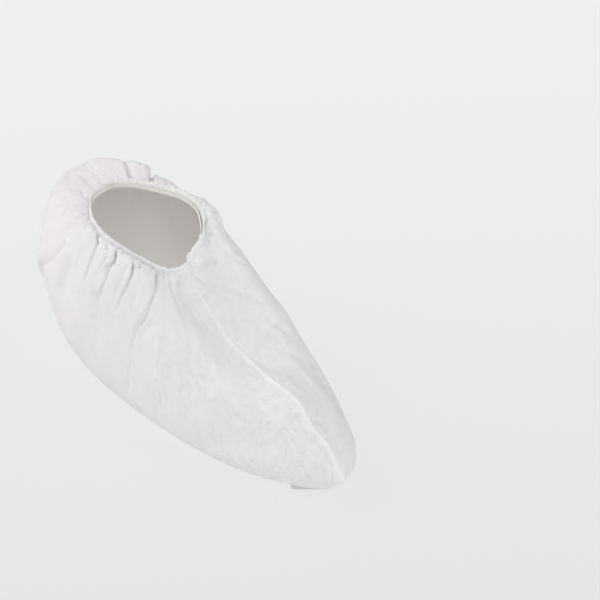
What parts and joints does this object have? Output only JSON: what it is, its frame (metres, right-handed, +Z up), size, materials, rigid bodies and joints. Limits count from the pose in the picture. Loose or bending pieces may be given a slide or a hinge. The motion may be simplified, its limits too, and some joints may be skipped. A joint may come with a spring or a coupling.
{
  "type": "shoe cover",
  "caption": "Slip-on nonwoven shoe cover with a raised centre seam over the vamp and an elastic, gathered ankle opening, worn over a shoe to keep it or the floor clean.",
  "frame": {"origin": "on the floor under the middle of the cover's outline", "axes": "+X towards the toe, +Z up, the wearer's right side at -Y"},
  "size_m": [0.3184, 0.1295, 0.1001],
  "materials": {
    "panel_nonwoven": "matte",
    "elastic_tape": "matte"
  },
  "bodies": {
    "root": {"right_panel": "panel_nonwoven", "left_panel": "panel_nonwoven", "elastic_band": "elastic_tape"}
  },
  "joints": []
}
